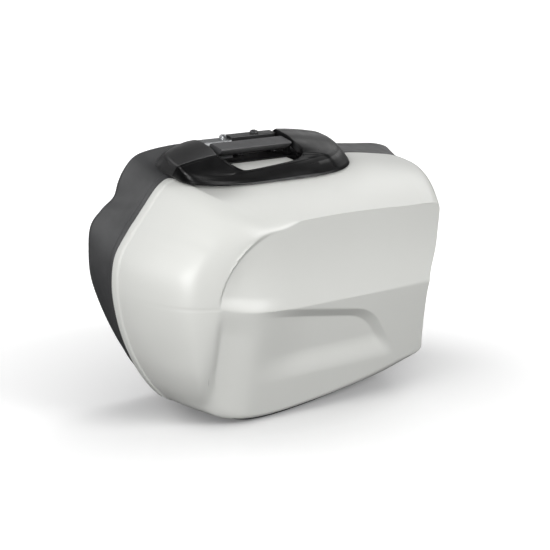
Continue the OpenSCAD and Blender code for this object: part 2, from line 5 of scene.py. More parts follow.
import bmesh
import bpy
import numpy as np
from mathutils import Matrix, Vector


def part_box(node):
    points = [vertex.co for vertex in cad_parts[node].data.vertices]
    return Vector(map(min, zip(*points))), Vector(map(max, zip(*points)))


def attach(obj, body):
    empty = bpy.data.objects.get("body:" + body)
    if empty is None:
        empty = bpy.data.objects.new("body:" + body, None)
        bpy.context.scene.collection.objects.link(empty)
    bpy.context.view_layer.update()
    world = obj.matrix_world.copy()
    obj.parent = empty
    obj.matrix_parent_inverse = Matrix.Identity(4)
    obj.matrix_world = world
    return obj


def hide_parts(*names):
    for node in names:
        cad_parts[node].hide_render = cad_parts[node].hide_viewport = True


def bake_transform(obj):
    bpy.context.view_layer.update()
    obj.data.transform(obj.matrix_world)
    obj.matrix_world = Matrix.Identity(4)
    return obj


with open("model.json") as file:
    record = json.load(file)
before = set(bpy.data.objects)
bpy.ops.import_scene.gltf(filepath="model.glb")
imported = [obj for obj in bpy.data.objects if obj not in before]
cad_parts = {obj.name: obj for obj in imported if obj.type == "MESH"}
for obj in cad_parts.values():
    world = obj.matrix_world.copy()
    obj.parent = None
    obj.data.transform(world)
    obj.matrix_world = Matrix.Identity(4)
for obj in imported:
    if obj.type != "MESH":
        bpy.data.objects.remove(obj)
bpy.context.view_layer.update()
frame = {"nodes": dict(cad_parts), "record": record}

MM = 0.001
# mm, from the case's own middle and parting plane to the middle of its box
SHIFT = np.array([-10.5, 34.0, 0.0])
NODES = frame["nodes"]

# ---------------------------------------------------------------- small helpers


def mix(a, b, t):
    return a + (b - a) * t


def smooth(v):
    t = np.clip(v, 0.0, 1.0)
    return t * t * (3.0 - 2.0 * t)


def unit(v):
    return v / np.maximum(1e-6, np.linalg.norm(v, axis=-1, keepdims=True))


def shade(piece, angle):
    """Smooth shading with sharp edges above an angle in degrees."""
    mesh = piece.data
    mesh.polygons.foreach_set("use_smooth", [True] * len(mesh.polygons))
    mesh.set_sharp_from_angle(angle=math.radians(angle))


def mesh_object(name, verts_mm, faces, smooth_angle=35.0):
    """A mesh piece from points in millimetres measured from the parting plane."""
    verts = np.asarray(verts_mm, float).reshape(-1, 3) + SHIFT
    mesh = bpy.data.meshes.new(name)
    mesh.from_pydata((verts * MM).tolist(), [], [list(f) for f in faces])
    mesh.update()
    mesh.validate()
    piece = bpy.data.objects.new(name, mesh)
    bpy.context.scene.collection.objects.link(piece)
    shade(piece, smooth_angle)
    return piece


MADE = []


def tag(piece, slot):
    """Note a piece's finish, for the materials below."""
    MADE.append((piece, slot))


def dress(piece, node, body, slot):
    """Hide the CAD node a piece stands in for, hang the piece on its body and note its finish."""
    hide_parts(node)
    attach(piece, body)
    tag(piece, slot)


def grid_faces(rows, cols, start=0, wrap_rows=False, wrap_cols=False, flip=False):
    """Quads of a grid of points stored row by row."""
    r = np.arange(rows if wrap_rows else rows - 1)
    c = np.arange(cols if wrap_cols else cols - 1)
    rr, cc = np.meshgrid(r, c, indexing="ij")
    a = rr * cols + cc
    b = ((rr + 1) % rows) * cols + cc
    d = rr * cols + (cc + 1) % cols
    e = ((rr + 1) % rows) * cols + (cc + 1) % cols
    quads = np.stack([a, b, e, d] if not flip else [a, d, e, b], -1).reshape(-1, 4) + start
    return quads.tolist()


def ring_curve(values, places):
    """Closed Catmull-Rom curve through the rows of values, at places counted in rows."""
    v = np.asarray(values, float)
    n = len(v)
    u = np.asarray(places, float)
    i = np.floor(u).astype(int)
    t = (u - i).reshape(-1, *([1] * (v.ndim - 1)))
    a, b, c, d = v[(i - 1) % n], v[i % n], v[(i + 1) % n], v[(i + 2) % n]
    return 0.5 * (2 * b + (c - a) * t + (2 * a - 5 * b + 4 * c - d) * t**2
                  + (3 * b - a - 3 * c + d) * t**3)


# ---------------------------------------------------------------- outline of the case

CENTRE = np.array([0.0, 190.0])
INNER_D, OUTER_D, WALL = 88.0, 155.0, 3.2
HOLLOW, SCOOP_H, RIM_GAP, BACK_R = 4.0, 9.0, 0.8, 20.0

# Parting line, shoulder of the outer face and back edge of the inner shell (x, z), then
# how round the outer side is and the power of its curve, at stations round the case.
STATIONS = [
    (141, 359, 141, 299, 150, 364.5, 0, 2.5),
    (200, 352.3, 178, 298, 213, 358.5, 0, 2.5),
    (243, 344.3, 203, 295.5, 266, 353, 0, 2.3),
    (262, 329, 212, 288, 294, 338.5, 0, 1.6),
    (267, 296, 211, 262, 300, 300, 0, 1.1),
    (268, 250, 205, 225, 302, 250, 0, 1.05),
    (268, 185, 188, 177, 302, 185, 0, 1.05),
    (266, 125, 190, 122, 298, 125, 0, 1.05),
    (256, 82, 196, 80, 284, 82, 0, 1.1),
    (234, 50, 197, 54, 255, 52, 0.1, 1.3),
    (190, 30, 155, 39.5, 205, 34, 0.5, 1.5),
    (120, 19, 90, 24, 120, 24, 0.6, 1.5),
    (20, 17, 10, 10, 20, 19, 0.6, 1.5),
    (-80, 17, -75, 1.5, -75, 18, 0.6, 1.5),
    (-150, 18, -131, 4, -125, 20, 0.7, 1.5),
    (-195, 24, -166, 17, -168, 30, 0.75, 1.5),
    (-224, 50, -188, 44, -204, 54, 0.8, 1.5),
    (-248, 88, -200, 85, -227, 90, 0.9, 1.5),
    (-264, 125, -204, 128, -246, 126, 0.9, 1.5),
    (-275, 165, -207, 165, -263, 166, 0.9, 1.5),
    (-280, 208, -207, 200, -275, 206, 0.9, 1.5),
    (-274, 250, -202, 232, -277, 246, 0.9, 1.5),
    (-252, 284, -188, 258, -272, 282, 0.9, 1.5),
    (-238, 301, -178, 269, -252.5, 304.5, 0.85, 1.6),
    (-224, 318, -166, 279, -232.5, 320.5, 0.8, 1.8),
    (-207, 338, -148, 289, -224, 342, 0.6, 2.2),
    (-195, 348, -135, 293, -213.5, 360, 0.4, 2.3),
    (-182, 353, -120, 296, -196.5, 376.5, 0.2, 2.4),
    (-166, 351, -103, 298, -171, 384, 0.1, 2.5),
    (-120, 352, -80, 300, -120, 388.5, 0, 2.5),
    (-50, 353, -40, 302, -50, 387, 0, 2.5),
    (30, 353.5, 20, 303, 25, 380.5, 0, 2.5),
    (98, 357, 80, 302, 92, 370.5, 0, 2.5),
]
COLUMNS = 16  # points between two stations
PLACES = np.arange(len(STATIONS) * COLUMNS) / COLUMNS


def inward(p, by):
    away = CENTRE - p
    return p + away * by / np.linalg.norm(away, axis=-1, keepdims=True)


# ---------------------------------------------------------------- outer face

PANEL_X = -191.0  # front edge of the long panel
FRONT_DIP = 3.5  # how far the lower face draws in behind the nose


def ridge_z(x):
    """Height of the crisp upper edge of the long panel."""
    q = np.clip((x - PANEL_X) / 120.0, 0, 1)
    rear = np.maximum(0, x - 20) / 185.0
    return 303.0 - 111.0 * (1 - q**0.6) ** 1.7 - 7.0 * rear**2


def lip_z(x):
    return 176.5 + 14.5 * (1 - np.clip((x - PANEL_X) / 130.0, 0, 1)) ** 2.5


def face_crown(x):
    nose = np.maximum(0, -110 - x) / 95.0
    tail = np.maximum(0, x - 60) / 145.0
    return OUTER_D - 13.0 * nose**2 - 5.0 * tail**2


def soft_min(a, b, k):
    h = np.clip(0.5 + (b - a) / (2 * k), 0, 1)
    return mix(b, a, h) - k * h * (1 - h)


def soft_ramp(v, k):
    """0 below 0 and 1 above 1, with corners rounded by k."""
    return 0.5 * (np.sqrt(v**2 + k) - np.sqrt((v - 1.0) ** 2 + k) + 1)


def scoop(x, z):
    side = soft_min((156.6 - 0.167 * x - z) / 1.014, (241.4 - 1.33 * x - z) / 1.664, 22.0)
    return SCOOP_H * smooth((x + 150) / 120) * smooth((z - 60) / 45) * soft_ramp(side / 13.0 + 0.5, 0.004)


def face_d(x, z):
    """Depth of the outer face in front of the parting plane."""
    up, low = ridge_z(x), lip_z(x)
    crown = face_crown(x)
    t = np.clip((z - low) / np.maximum(1, up - low), 0, 1)
    # the nose is one smooth bulb, which the panel and the lower face grow out of
    bulb = crown - 2 - 0.0012 * (z - 200) ** 2
    edge = 5.5 * smooth((x - PANEL_X) / 60) - 2.0
    above = mix(bulb, crown - 3 - 0.0009 * (z - up) ** 2, smooth((x - PANEL_X) / 70))
    panel = crown + edge - (edge + 3.5) * t - smooth((x - PANEL_X) / 40) * HOLLOW * np.sin(math.pi * t)
    # the panel's front edge is a thin step that fades out along its top
    step = 3.2 * (1 - smooth((x + 150) / 70)) * smooth((up - z) / 9.0) * smooth((z - low) / 22.0)
    under = np.maximum(0, low - z)
    lower = crown + edge - 0.22 * under - 0.0002 * under**2 - scoop(x, z)
    lower = lower - FRONT_DIP * smooth((x + 196) / 16) * (1 - smooth((x + 172) / 50)) * smooth(under / 40)
    lower = mix(bulb, lower, smooth((x + 203) / 20))
    return np.where(z > up, above, np.where(z > low, panel - step, lower))


# ---------------------------------------------------------------- shells


def rim_fractions():
    """Fractions from the parting line to the shoulder, dense where the rim band is."""
    return np.concatenate([np.linspace(0, 0.2, 26)[:-1], np.linspace(0.2, 1.0, 36)])


def relax(rows, middle, spread, strength, turns):
    """Even out the rows near one row, column by column, by the strength of each column."""
    grid = np.array(rows)
    near = np.exp(-(((np.arange(len(grid)) - middle) / spread) ** 2))[1:-1, None, None]
    for _ in range(turns):
        mean = 0.5 * (grid[:-2] + grid[2:])
        grid[1:-1] += 0.9 * near * strength[None, :, None] * (mean - grid[1:-1])
    return list(grid)


# mm: middle, half widths and depth of the soft hollow below the front of the grip
DIP_AT, DIP_R, DIP_D = np.array([-134.0, -66.0, 330.0]), np.array([34.0, 20.0, 22.0]), 6.0


def outer_skin(t, sides, faces_n, detail):
    st = ring_curve(STATIONS, PLACES)
    p, s = inward(st[:, 0:2], t), inward(st[:, 2:4], t)
    w, e = st[:, 6:7], st[:, 7:8]
    top_d = (face_d(s[:, 0], s[:, 1]) - t)[:, None]
    # the band along the rim is proud at the nose and the tail and thin under the grip
    band_h = 1.8 - 1.4 * smooth((p[:, 1] - 335) / 12) * smooth((p[:, 0] + 190) / 20)
    rows = []
    for a in sides:
        along = mix(a, math.sin(a * math.pi / 2), w)
        across = mix(a ** e, 1 - math.cos(a * math.pi / 2), w)
        flat = mix(p, s, across)
        depth = top_d * along
        if detail:
            band = 1 - smooth((depth - 13.0) / 4.0)
            lead = 0.8 * (1 - smooth(depth / 1.4))
            flat = inward(flat, lead - band * band_h[:, None])
        rows.append(np.stack([flat[:, 0], -RIM_GAP / 2 - depth[:, 0], flat[:, 1]], -1))
    for a in faces_n:
        flat = mix(s, CENTRE, a)
        depth = face_d(flat[:, 0], flat[:, 1]) - t
        rows.append(np.stack([flat[:, 0], -RIM_GAP / 2 - depth, flat[:, 1]], -1))
    if detail:
        front = smooth((-60 - s[:, 0]) / 50) * (s[:, 1] > 270)
        rows = relax(rows, len(sides) - 1, 5.0, np.maximum(smooth(w[:, 0] / 0.8), front), 60)
    grid = np.array(rows)
    fall = np.exp(-(((grid - DIP_AT) / DIP_R) ** 2).sum(-1, keepdims=True))
    rows = list(grid + DIP_D * fall * np.array([0.0, 0.6, -0.8]))
    mid = np.array([[CENTRE[0], -RIM_GAP / 2 - float(face_d(*CENTRE)) + t, CENTRE[1]]])
    return rows, mid


def inner_skin(t, sides, turns, faces_n, detail=False):
    st = ring_curve(STATIONS, PLACES)
    p, b = inward(st[:, 0:2], t), inward(st[:, 4:6], t)
    rows = []
    for a in sides:
        flat = mix(p, b, a)
        depth = a * (INNER_D - BACK_R)
        if detail:
            band = 1 - smooth((depth - 8.0) / 2.0)
            lead = 0.7 * (1 - smooth(depth / 1.2))
            flat = inward(flat, lead - 1.1 * band)
        rows.append(np.stack([flat[:, 0], np.full(len(flat), RIM_GAP / 2 + depth), flat[:, 1]], -1))
    for a in turns:
        ang = a * math.pi / 2
        flat = inward(b, (BACK_R - t) * (1 - math.cos(ang)))
        y = RIM_GAP / 2 + INNER_D - BACK_R + (BACK_R - t) * math.sin(ang)
        rows.append(np.stack([flat[:, 0], np.full(len(flat), y), flat[:, 1]], -1))
    edge = inward(b, BACK_R - t)
    for a in faces_n:
        flat = mix(edge, CENTRE, a)
        y = np.full(len(flat), RIM_GAP / 2 + INNER_D - t)
        rows.append(np.stack([flat[:, 0], y, flat[:, 1]], -1))
    mid = np.array([[CENTRE[0], RIM_GAP / 2 + INNER_D - t, CENTRE[1]]])
    return rows, mid


def join_skins(name, outside, inside, flip):
    """One closed shell from an outside and an inside skin that share the rim's columns."""
    verts, faces, first = [], [], []
    start = 0
    for rows, mid, turned in ((outside[0], outside[1], flip), (inside[0], inside[1], not flip)):
        cols = len(rows[0])
        verts += rows + [mid]
        first.append(start)
        faces += grid_faces(len(rows), cols, start, wrap_cols=True, flip=turned)
        last, hub = start + (len(rows) - 1) * cols, start + len(rows) * cols
        for j in range(cols):
            k = (j + 1) % cols
            faces.append([last + j, last + k, hub] if turned else [last + j, hub, last + k])
        start = hub + 1
    cols = len(outside[0][0])
    for j in range(cols):
        k = (j + 1) % cols
        ring = [first[0] + j, first[0] + k, first[1] + k, first[1] + j]
        faces.append(ring[::-1] if flip else ring)
    return mesh_object(name, np.concatenate(verts), faces, 40)


FACE_ROWS = 128  # rows of the outer face, from its shoulder to its middle
outer = join_skins(
    "painted_outer_shell",
    outer_skin(0.0, rim_fractions(), np.linspace(0, 1, FACE_ROWS + 2)[1:-1], True),
    outer_skin(WALL, np.linspace(0, 1, 16), np.linspace(0, 1, 30)[1:-1], False),
    False,
)
# the inner skin's points come after the outer one's rows and its hub
INSIDE_FROM = (len(rim_fractions()) + FACE_ROWS) * len(PLACES) + 1
dress(outer, "outer_shell", "lid", "painted_shell")

inner = join_skins(
    "black_inner_shell",
    inner_skin(0.0, np.linspace(0, 1, 60), np.linspace(0, 1, 12)[1:], np.linspace(0, 1, 60)[1:-1], True),
    inner_skin(WALL, np.linspace(0, 1, 12), np.linspace(0, 1, 6)[1:], np.linspace(0, 1, 20)[1:-1]),
    True,
)
dress(inner, "inner_shell", "case", "black_shell")

# ---------------------------------------------------------------- housing over the latch

# Rim of the housing's mouth, shoulder of its roof and its lower edge, at stations round it
HOUSING = [
    ((-97, -58, 367), (-130, -63, 359), (-135, -71, 347.5)),
    ((-84, -59.5, 364.5), (-86, -65, 360), (-88, -78, 346)),
    ((-40, -59.5, 367), (-40, -65, 363), (-40, -80, 346)),
    ((-3, -58.5, 370), (0, -65, 366), (5, -81, 346)),
    ((10, -56, 372.5), (34, -62, 368), (40, -81, 346.5)),
    ((20, -51, 377), (66, -57, 371), (76, -77, 349.5)),
    ((21, -44, 384.5), (88, -46, 376), (101, -64, 353.6)),
    ((15, -34, 393), (98, -32, 382), (114, -47, 357.2)),
    ((15, -20, 399), (101, -16, 387.2), (120, -28, 361)),
    ((16, 0, 403.5), (101, 0, 391.5), (130, -8, 363)),
    ((18, 14, 405.5), (94, 14, 396), (130, 12, 364.7)),
    ((26, 26, 404), (80, 28, 396), (118, 36, 367.2)),
    ((28, 36, 400), (62, 41, 391), (96, 54, 371.7)),
    ((24, 38, 397), (38, 44, 390), (45, 57, 376.7)),
    ((-20, 38, 390), (-20, 44, 387), (-20, 57, 383.6)),
    ((-72, 38, 390), (-72, 44, 388), (-72, 57, 386)),
    ((-116, 38, 396), (-117, 44, 392), (-116, 57, 387.2)),
    ((-122, 32, 399), (-146, 40, 391.5), (-152, 56, 383.7)),
    ((-124, 14, 402), (-172, 20, 389), (-186, 32, 370.2)),
    ((-126, -8, 400), (-184, 0, 386), (-187, 17, 363.1)),
    ((-126, -26, 395.5), (-190, -22, 381), (-185, 3, 358.5)),
    ((-125, -39, 388), (-191, -38, 378), (-185, -10, 356.5)),
    ((-120, -43, 384.5), (-189, -43, 374), (-187, -28, 354.5)),
    ((-115, -48, 379), (-184, -49, 369), (-185, -46, 353)),
    ((-107, -54, 373), (-168, -56, 363), (-171, -60, 350.5)),
]
COVER_FROM, COVER_TO = 16.1, 21.0
HOUSE_WALL, MOUTH_DROP, END_DROP = 3.0, 6.0, 6.5
UP = np.array([0.0, 0.0, 1.0])


def towards(p, x0, x1, y0, y1):
    """Level direction from each point towards the nearest point of a block."""
    near = np.stack([np.clip(p[:, 0], x0, x1), np.clip(p[:, 1], y0, y1), p[:, 2]], -1)
    return unit(near - p)


def rounded(before, corner, after, radius, steps):
    """Points of a corner rounded by a parabola, radius mm along each leg."""
    r1 = np.minimum(radius, 0.45 * np.linalg.norm(before - corner, axis=-1, keepdims=True))
    r2 = np.minimum(radius, 0.45 * np.linalg.norm(after - corner, axis=-1, keepdims=True))
    a, b = corner + unit(before - corner) * r1, corner + unit(after - corner) * r2
    return [mix(mix(a, corner, t), mix(corner, b, t), t) for t in np.linspace(0, 1, steps)]


def housing_part(name, u0, u1):
    """The stretch of the housing between two places, as a closed wall with eased ends."""
    lead = 0.035
    body = np.linspace(u0 + lead, u1 - lead, int((u1 - u0) * 18))
    places = np.concatenate([[u0, u0 + lead / 2], body, [u1 - lead / 2, u1]])
    shrink = np.zeros(len(places))
    shrink[[0, -1]] = 0.7
    shrink[[1, -2]] = 0.15
    rails = ring_curve(HOUSING, places)
    m, s, b = rails[:, 0], rails[:, 1], rails[:, 2]
    wrapped = places % len(HOUSING)
    # the right cover's top stands a little proud of the front, with a crisp edge
    proud = 1.6 * smooth((wrapped - 4.72) / 0.22) * (1 - smooth((wrapped - 7) / 3))
    m, s = m + UP * proud[:, None], s + UP * (0.8 * proud)[:, None]
    core_b, core_s = towards(b, -120, 60, -5, 5), towards(s, -120, 60, -5, 5)
    out_m = -towards(m, -100, 0, -30, 20)
    foot = mix(b, s, 0.17)
    tuck = b + core_b * 1.6
    drop = MOUTH_DROP + END_DROP * smooth(wrapped - 5.5) * (1 - smooth(wrapped - 10.5))
    floor = m - UP * drop[:, None]
    outside, offset = [tuck], [core_b]
    for point in rounded(tuck, foot, s, 1.5, 5):
        outside.append(point)
        offset.append(core_b)
    for f in (0.25, 0.5, 0.75):
        outside.append(mix(foot, s, f) - core_s * 0.8 * math.sin(math.pi * f))
        offset.append(mix(core_b, core_s, f))
    for i, point in enumerate(rounded(foot, s, m, 6.0, 9)):
        outside.append(point)
        offset.append(mix(core_s, -UP, i / 8))
    for f in (0.25, 0.5, 0.75):
        outside.append(mix(s, m, f) + UP * 1.0 * math.sin(math.pi * f))
        offset.append(-UP + 0 * m)
    for i, point in enumerate(rounded(s, m, floor, 1.4, 6)):
        outside.append(point)
        offset.append(mix(-UP, out_m, i / 5))
    outside.append(floor)
    offset.append(out_m)
    outside, offset = np.array(outside), np.array(offset)
    outside = outside + offset * shrink[None, :, None]
    inside = outside + offset * (HOUSE_WALL - shrink)[None, :, None]
    n, cols = len(outside), len(places)
    faces = grid_faces(n, cols)
    faces += grid_faces(n, cols, n * cols, flip=True)
    for k in (0, n - 1):
        for j in range(cols - 1):
            ring = [k * cols + j, k * cols + j + 1, (n + k) * cols + j + 1, (n + k) * cols + j]
            faces.append(ring if k == 0 else ring[::-1])
    for j in (0, cols - 1):
        for k in range(n - 1):
            ring = [k * cols + j, (k + 1) * cols + j, (n + k + 1) * cols + j, (n + k) * cols + j]
            faces.append(ring[::-1] if j == 0 else ring)
    return mesh_object(name, np.concatenate([outside, inside]), faces, 38)


bezel = housing_part("latch_bezel", COVER_TO + 0.03, len(HOUSING) + COVER_FROM - 0.02)
dress(bezel, "grip_bezel", "case", "bezel_plastic")
cover = housing_part("latch_end_cover", COVER_FROM, COVER_TO)
dress(cover, "left_cover", "case", "cover_plastic")

# ---------------------------------------------------------------- webbing and its fittings


def fair(piece):
    """Turn every face of a closed piece to the outside."""
    shape = bmesh.new()
    shape.from_mesh(piece.data)
    bmesh.ops.recalc_face_normals(shape, faces=shape.faces)
    shape.to_mesh(piece.data)
    shape.free()
    return piece


def band_mesh(path, across, width, thick):
    """Points and faces of webbing along a path, with rolled edges; across is its width's direction."""
    path = np.asarray(path, float)
    along = unit(np.gradient(path, axis=0))
    across = unit(np.broadcast_to(np.asarray(across, float), path.shape))
    out = np.cross(along, across)
    turn = np.linspace(0, 2 * math.pi, 20, endpoint=False)
    c, s = np.cos(turn), np.sin(turn)
    u = np.sign(c) * np.abs(c) ** 0.3 * width / 2
    v = np.sign(s) * np.abs(s) ** 0.6 * thick / 2
    points = path[:, None] + across[:, None] * u[None, :, None] + out[:, None] * v[None, :, None]
    faces = grid_faces(len(path), len(turn), wrap_cols=True)
    last = (len(path) - 1) * len(turn)
    faces.append(list(range(len(turn))))
    faces.append([last + i for i in range(len(turn))])
    return points.reshape(-1, 3), faces


def plate_mesh(outline, lift, low, high):
    """Points and faces of a flat outline made thick; lift turns (a, b, depth) into a point."""
    n = len(outline)
    points = [lift(a, b, d) for d in (low, high) for a, b in outline]
    faces = [list(range(n)), list(range(n, 2 * n))]
    faces += [[i, (i + 1) % n, n + (i + 1) % n, n + i] for i in range(n)]
    return np.array(points, float), faces


def rounded_box(w, h, r, steps=6, centre=(0, 0)):
    """Outline of a rectangle with round corners."""
    points = []
    for k, (sx, sy) in enumerate(((1, 1), (-1, 1), (-1, -1), (1, -1))):
        for i in range(steps + 1):
            a = math.radians(90 * k + 90 * i / steps)
            x = centre[0] + sx * (w / 2 - r) + r * math.cos(a)
            z = centre[1] + sy * (h / 2 - r) + r * math.sin(a)
            points.append((x, z))
    return points


def joined(name, parts, angle=35.0):
    """One piece of several loose closed shapes."""
    points, faces, start = [], [], 0
    for verts, quads in parts:
        points.append(verts)
        faces += [[start + i for i in f] for f in quads]
        start += len(verts)
    piece = fair(mesh_object(name, np.concatenate(points), faces, angle))
    shade(piece, angle)
    return piece


def soften(piece, width, segments=3):
    """Round the edges of a moulded piece."""
    bevel = piece.modifiers.new("edges", "BEVEL")
    bevel.width = width * MM
    bevel.segments = segments
    bevel.limit_method = "ANGLE"
    bevel.angle_limit = math.radians(38)
    normals = piece.modifiers.new("normals", "WEIGHTED_NORMAL")
    normals.keep_sharp = False


def box_mm(node):
    """Corners of a CAD node in millimetres from the parting plane."""
    low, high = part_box(node)
    return np.array(low) / MM - SHIFT, np.array(high) / MM - SHIFT


def in_wall(a, b, d):
    """A point of the back wall's plane: along the case, up, and depth."""
    return (a, d, b)


def cargo_strap(name, x0, x1, y, z, width):
    """A packing strap: webbing slung loosely over the back wall, with its free end doubled back."""
    t = np.linspace(0, 1, 60)
    main = np.stack([mix(x0, x1, t), y - 2.2 * np.sin(math.pi * t), np.full(60, z)], -1)
    tail_t = np.linspace(0.42, 0.97, 40) if x0 < 0 else np.linspace(0.03, 0.58, 40)
    tail = np.stack([mix(x0, x1, tail_t), y - 1.7 - 2.5 * np.sin(math.pi * tail_t), np.full(40, z)], -1)
    parts = [band_mesh(main, (0, 0, 1), width, 1.4), band_mesh(tail, (0, 0, 1), width - 0.6, 1.4)]
    return joined(name, parts, 60)


def cargo_straps():
    """Both packing straps, from their anchors to just inside the buckle."""
    low, high = box_mm("cargo_straps")
    buckle_low, buckle_high = box_mm("strap_buckle")
    y, z, width = (low[1] + high[1]) / 2, (low[2] + high[2]) / 2, high[2] - low[2]
    for name, x0, x1 in (
        ("packing_strap_front", low[0], buckle_low[0] + 4),
        ("packing_strap_rear", buckle_high[0] - 4, high[0]),
    ):
        strap = cargo_strap(name, x0, x1, y, z, width)
        dress(strap, "cargo_straps", "case", "webbing")


def side_release_buckle():
    """The straps' buckle, as proportions of the space its CAD node holds."""
    low, high = box_mm("strap_buckle")
    mid = (low + high) / 2
    w, h, z = high[0] - low[0], high[2] - low[2], mid[2]
    front, back = low[1], high[1]
    parts = []
    # socket half: two skins with side windows between them
    socket = rounded_box(w * 0.5, h * 0.92, 5, centre=(mid[0] + w * 0.23, z))
    for d0, d1 in ((front, front + 2.2), (back - 2.2, back)):
        parts.append(plate_mesh(socket, in_wall, d0, d1))
    bridge = rounded_box(w * 0.16, h * 0.9, 2, centre=(mid[0] + w * 0.4, z))
    parts.append(plate_mesh(bridge, in_wall, front + 1, back - 1))
    for side in (-1, 1):
        rail = rounded_box(w * 0.3, h * 0.09, 1, centre=(mid[0] + w * 0.2, z + side * h * 0.2))
        parts.append(plate_mesh(rail, in_wall, front + 1, back - 1))
    # plug half: a shoulder and two sprung prongs with thumb pads
    shoulder = rounded_box(w * 0.26, h * 0.96, 3, centre=(mid[0] - w * 0.13, z))
    parts.append(plate_mesh(shoulder, in_wall, front + 0.6, back - 0.6))
    for side in (-1, 1):
        prong = [
            (mid[0] - w * 0.02, z + side * h * 0.22), (mid[0] - w * 0.02, z + side * h * 0.4),
            (mid[0] + w * 0.12, z + side * h * 0.5), (mid[0] + w * 0.22, z + side * h * 0.5),
            (mid[0] + w * 0.25, z + side * h * 0.42), (mid[0] + w * 0.1, z + side * h * 0.26),
        ]
        parts.append(plate_mesh(prong, in_wall, front + 2.4, back - 2.4))
    # ladder bars at both ends that the webbing goes round
    for side in (-1, 1):
        for k in (0.36, 0.47):
            bar = rounded_box(w * 0.045, h, 1.2, centre=(mid[0] + side * w * k, z))
            parts.append(plate_mesh(bar, in_wall, front + 1.5, back - 1.5))
        for up in (-1, 1):
            corner = (mid[0] + side * w * 0.41, z + up * h * 0.45)
            cheek = rounded_box(w * 0.17, h * 0.1, 1.2, centre=corner)
            parts.append(plate_mesh(cheek, in_wall, front + 1, back - 1))
    piece = joined("side_release_buckle", parts)
    soften(piece, 0.5)
    dress(piece, "strap_buckle", "case", "buckle_plastic")


def lid_stays():
    """Bands that stop the lid: each hangs in a loop between the case and the lid."""
    low, high = box_mm("check_straps")
    width, half_thick, clip_drop = 18.0, 0.8, 6
    y0, y1, top = low[1] + half_thick, high[1] - half_thick, high[2]
    loop_r = (y1 - y0) / 2
    bend_z = low[2] + half_thick + loop_r
    # each stay's place and how far its clips reach to the walls of the lid and the case
    for name, x, reaches in (
        ("front_lid_stay", low[0] + width / 2, (58.5, 59.0)),
        ("rear_lid_stay", high[0] - width / 2, (24.0, 40.0)),
    ):
        turn = np.linspace(math.pi, 2 * math.pi, 40)
        down = np.linspace(top, bend_z, 40)[:-1]
        y = np.concatenate([np.full(39, y0), (y0 + y1) / 2 + loop_r * np.cos(turn), np.full(39, y1)])
        z = np.concatenate([down, bend_z + loop_r * np.sin(turn), down[::-1]])
        path = np.stack([np.full(len(y), x), y, z], -1)
        stay = joined(name, [band_mesh(path, (1, 0, 0), width, 1.4)], 60)
        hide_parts("check_straps")
        tag(stay, "webbing")
        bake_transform(stay)
        # a riveted clip on the wall of each half holds the end of the band
        wall = -1 if x < 0 else 1
        for half, side, reach in (("lid", -1, reaches[0]), ("case", 1, reaches[1])):
            y_at, z_at = (y0 if side < 0 else y1), top - clip_drop
            arm_x = x + wall * (reach - width / 2) / 2
            arm = rounded_box(reach + width / 2 + 2, 13, 4, centre=(arm_x, z_at))
            cap = rounded_box(width + 4, 15, 4, centre=(x, z_at))
            rivet = rounded_box(7, 7, 3.4, centre=(x, z_at))
            # each outline and its two depths from the band, counted away from the parting plane
            parts = []
            for outline, near, far in ((arm, 0.9, 3.9), (cap, -0.9, -2.4), (rivet, -3.4, 0)):
                depths = (y_at + side * near, y_at + side * far)
                parts.append(plate_mesh(outline, in_wall, min(depths), max(depths)))
            clip = joined(name.split("_")[0] + "_stay_clip_" + half, parts)
            soften(clip, 0.5)
            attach(clip, half)
            tag(clip, "black_nylon")


def open_back_wall(shell):
    """Cut the openings for the two carrier sockets and the hook's housing."""
    across = 2 * SOCKET_R
    outlines = [rounded_box(across, across, SOCKET_R, 10, (x, SOCKET_Z)) for x in SOCKETS_X]
    outlines.append(rounded_box(*HOOK_MOUTH, 0.5, 2, (0, HOOK_Z)))
    cutter = joined("cutter", [plate_mesh(o, in_wall, *CUT_DEPTH) for o in outlines])
    cut = shell.modifiers.new("openings", "BOOLEAN")
    cut.solver = "EXACT"
    cut.operation = "DIFFERENCE"
    cut.object = cutter
    bpy.context.view_layer.update()
    whole = shell.evaluated_get(bpy.context.evaluated_depsgraph_get())
    mesh = bpy.data.meshes.new_from_object(whole)
    shell.modifiers.remove(cut)
    shell.data = mesh
    bpy.data.objects.remove(cutter)
    shade(shell, 40)


# mm: openings round the carrier sockets and the hook's housing, as in the CAD part
SOCKETS_X, SOCKET_Z, SOCKET_R = (-110, 110), 110, 16.3
HOOK_MOUTH, HOOK_Z, CUT_DEPTH = (56.8, 48.8), 312, (70, 100)
open_back_wall(inner)
cargo_straps()
side_release_buckle()
lid_stays()

# ---------------------------------------------------------------- materials


def principled(name, color, rough, **sockets):
    mat = bpy.data.materials.new(name)
    mat.use_nodes = True
    bsdf = mat.node_tree.nodes["Principled BSDF"]
    bsdf.inputs["Base Color"].default_value = (*color, 1)
    bsdf.inputs["Roughness"].default_value = rough
    for key, value in sockets.items():
        bsdf.inputs[key.replace("_", " ")].default_value = value
    return mat, mat.node_tree, bsdf


def object_place(tree, stretch=(1, 1, 1)):
    """Object coordinates, stretched along the axes."""
    coord = tree.nodes.new("ShaderNodeTexCoord")
    mapping = tree.nodes.new("ShaderNodeMapping")
    mapping.inputs["Scale"].default_value = stretch
    tree.links.new(coord.outputs["Object"], mapping.inputs["Vector"])
    return mapping.outputs["Vector"]


def noise(tree, place, scale, detail=3.0):
    node = tree.nodes.new("ShaderNodeTexNoise")
    node.inputs["Scale"].default_value = scale
    node.inputs["Detail"].default_value = detail
    tree.links.new(place, node.inputs["Vector"])
    return node.outputs["Fac"]


